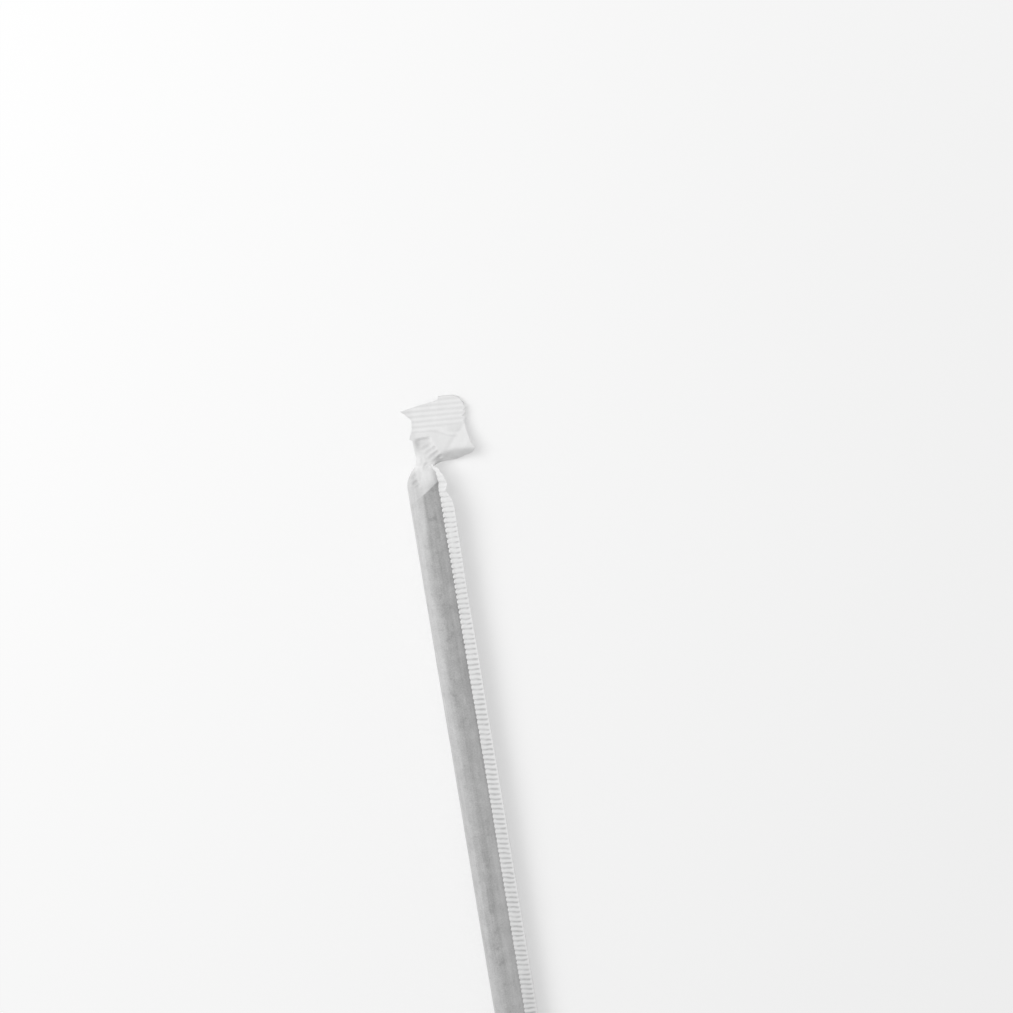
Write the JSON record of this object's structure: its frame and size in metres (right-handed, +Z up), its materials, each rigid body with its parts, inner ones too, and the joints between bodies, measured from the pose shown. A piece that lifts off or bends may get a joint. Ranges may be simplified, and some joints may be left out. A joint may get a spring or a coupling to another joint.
{
  "type": "wrapped drinking straw",
  "caption": "Plain drinking straw sealed in a thin white paper wrapper, with a crimped fin along its side, ridged end seals and a crumpled, pinched end.",
  "frame": {"origin": "middle of the flat spot under the sleeve, half way along the straw, on the table", "axes": "+Y along the straw towards its crumpled end, +Z up from the table, +X to the side with the crimped fin"},
  "size_m": [0.0151, 0.229, 0.0064],
  "materials": {
    "wrapper_paper": "thin uncoated white paper, greyed where the straw shows through",
    "straw_plastic": "smooth extruded plastic"
  },
  "bodies": {
    "root": {"paper_wrapper": "wrapper_paper", "straw": "straw_plastic"}
  },
  "joints": []
}
